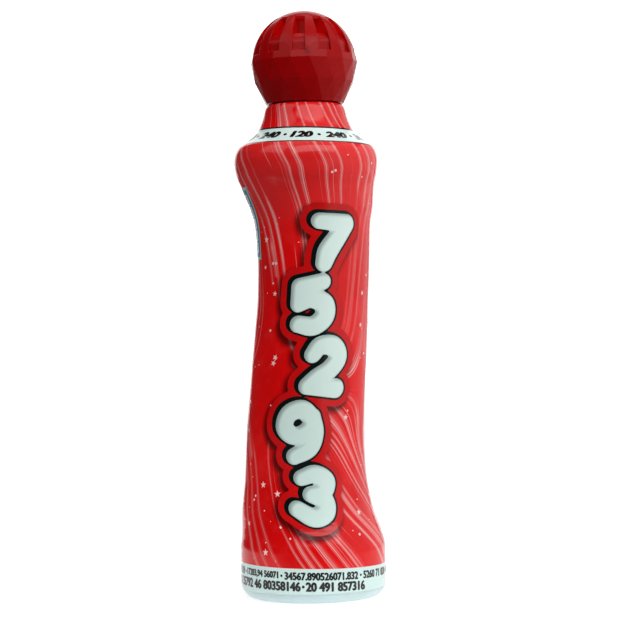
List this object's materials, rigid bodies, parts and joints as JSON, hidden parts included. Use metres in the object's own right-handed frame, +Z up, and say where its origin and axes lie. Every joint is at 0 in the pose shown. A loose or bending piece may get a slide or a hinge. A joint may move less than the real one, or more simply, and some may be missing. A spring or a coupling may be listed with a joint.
{
  "type": "bingo dauber",
  "caption": "Squeeze bottle of ink with a wound waist, a spring-valved foam marking tip and a faceted ball-shaped screw cap.",
  "frame": {"origin": "middle of the standing ring, on the surface that the bottle stands on", "axes": "+Z up the bottle's axis; -Y is the front; +X is to the right seen from the front"},
  "size_m": [0.038, 0.038, 0.1541],
  "materials": {
    "bottle_plastic": "satin, slightly translucent",
    "printed_film": "gloss",
    "ink": "gloss",
    "natural_plastic": "satin",
    "white_plastic": "satin",
    "spring_steel": "drawn wire",
    "pad_foam": "open-cell foam",
    "tip_fabric": "ink-stained knit",
    "seal_foam": "matt",
    "cap_plastic": "gloss"
  },
  "bodies": {
    "body": {"bottle": "bottle_plastic", "shrink_sleeve": "printed_film", "ink_fill": "ink", "valve_housing": "natural_plastic", "spring_cage": "natural_plastic", "valve_spring": "spring_steel"},
    "tip": {"valve_stem": "white_plastic", "pad_carrier": "natural_plastic", "tip_foam": "pad_foam", "tip_cover": "tip_fabric", "clamp_ring": "white_plastic"},
    "seal": {"cap_seal": "seal_foam"},
    "cap": {"cap": "cap_plastic"}
  },
  "joints": [
    {"name": "tip_press", "type": "slide", "parent": "body", "child": "tip", "axis": [0, 0, -1], "range_m": [0, 0.0015], "stiffness_N_per_m": 1200, "springref_m": -0.0008, "deforming": ["valve_spring"]},
    {"name": "cap_lift", "type": "slide", "parent": "body", "child": "seal", "axis": [0, 0, 1], "range_m": [0, 0.02]},
    {"name": "cap_turn", "type": "hinge", "parent": "seal", "child": "cap", "pos_m": [0, 0, 0.1403], "axis": [0, 0, 1], "range_deg": [0, 1440]}
  ],
  "couplings": [
    {"joint": "cap_lift", "follows": "cap_turn", "m_per_rad": 0.00079577}
  ]
}
